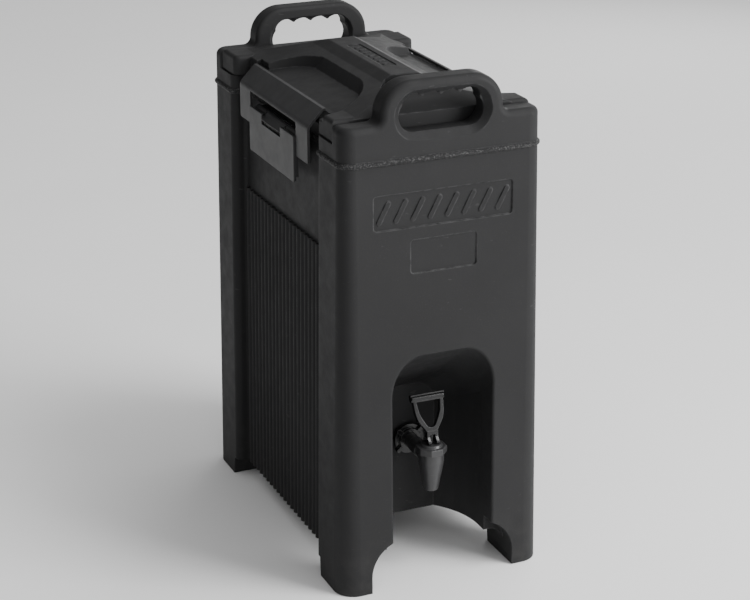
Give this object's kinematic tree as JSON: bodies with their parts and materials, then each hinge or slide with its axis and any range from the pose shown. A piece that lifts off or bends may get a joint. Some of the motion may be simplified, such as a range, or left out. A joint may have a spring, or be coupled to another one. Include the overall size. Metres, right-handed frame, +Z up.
{
  "type": "insulated beverage dispenser",
  "caption": "Upright insulated drinks dispenser with carry handles, lift-off latched lid, ribbed sides and a loop-handled faucet set in a front recess",
  "frame": {"origin": "centre of the foot print, on the floor between the legs", "axes": "X to the dispenser's right, Y from the faucet side to the back, Z up"},
  "size_m": [0.263, 0.443, 0.616],
  "materials": {
    "shell_plastic": "coarse moulded grain",
    "liner_plastic": "smooth moulded",
    "foam": "closed-cell foam",
    "latch_plastic": "smooth moulded",
    "tap_plastic": "glossy moulded",
    "tap_grey": "satin moulded",
    "seal_rubber": "smooth",
    "steel": "brushed"
  },
  "bodies": {
    "cabinet": {"shell_front": "shell_plastic", "shell_rear": "shell_plastic", "shell_belly": "shell_plastic", "side_panel_left": "shell_plastic", "side_panel_right": "shell_plastic", "mouth_ring": "shell_plastic", "end_wall_front": "shell_plastic", "end_wall_rear": "shell_plastic", "foam_core": "foam", "inner_liner": "liner_plastic", "latch_left_bracket": "latch_plastic", "latch_left_screws": "steel", "latch_left_lever_pin": "steel", "latch_right_bracket": "latch_plastic", "latch_right_screws": "steel", "latch_right_lever_pin": "steel", "faucet_body": "tap_plastic", "faucet_gasket_outer": "seal_rubber", "faucet_gasket_inner": "seal_rubber", "faucet_flange": "tap_plastic", "faucet_lock_nut": "tap_plastic", "faucet_bonnet": "tap_grey"},
    "lid": {"lid_cover": "shell_plastic", "lid_tray": "shell_plastic", "lid_foam": "foam", "lid_gasket": "seal_rubber", "vent_seal": "seal_rubber"},
    "vent": {"vent_cap": "latch_plastic"},
    "lever_left": {"latch_left_lever": "latch_plastic", "latch_left_bail_pins": "steel"},
    "bail_left": {"latch_left_bail": "latch_plastic"},
    "lever_right": {"latch_right_lever": "latch_plastic", "latch_right_bail_pins": "steel"},
    "bail_right": {"latch_right_bail": "latch_plastic"},
    "valve": {"faucet_stem": "tap_plastic", "faucet_seat_cup": "seal_rubber", "faucet_spring": "steel", "faucet_handle_pin": "tap_plastic"},
    "tap_handle": {"faucet_handle": "tap_plastic"}
  },
  "joints": [
    {"name": "lid_lift", "type": "slide", "parent": "cabinet", "child": "lid", "axis": [0, 0, 1], "range_m": [0, 0.15]},
    {"name": "vent_turn", "type": "hinge", "parent": "lid", "child": "vent", "pos_m": [0, -0.121, 0.586], "axis": [0, 0, 1], "range_deg": [0, 90]},
    {"name": "latch_left_lever", "type": "hinge", "parent": "cabinet", "child": "lever_left", "pos_m": [-0.1155, 0, 0.524], "axis": [0, 1, 0], "range_deg": [-3.3, 100]},
    {"name": "latch_left_bail", "type": "hinge", "parent": "lever_left", "child": "bail_left", "pos_m": [-0.1155, 0, 0.506], "axis": [0, 1, 0], "range_deg": [-140.1, 4.7]},
    {"name": "latch_right_lever", "type": "hinge", "parent": "cabinet", "child": "lever_right", "pos_m": [0.1155, 0, 0.524], "axis": [0, -1, 0], "range_deg": [-3.3, 100]},
    {"name": "latch_right_bail", "type": "hinge", "parent": "lever_right", "child": "bail_right", "pos_m": [0.1155, 0, 0.506], "axis": [0, -1, 0], "range_deg": [-140.1, 4.7]},
    {"name": "faucet_valve", "type": "slide", "parent": "cabinet", "child": "valve", "axis": [0, 0, 1], "range_m": [0, 0.0039]},
    {"name": "faucet_handle", "type": "hinge", "parent": "valve", "child": "tap_handle", "pos_m": [0, -0.185, 0.171], "axis": [1, 0, 0], "range_deg": [0, 55], "stiffness_Nm_per_rad": 0.15, "springref_deg": -20.05}
  ],
  "couplings": [
    {"joint": "latch_left_bail", "follows": "latch_left_lever", "ratio": -1.4},
    {"joint": "latch_right_bail", "follows": "latch_right_lever", "ratio": -1.4},
    {"joint": "faucet_handle", "follows": "faucet_valve", "rad_per_m": 246.14}
  ]
}
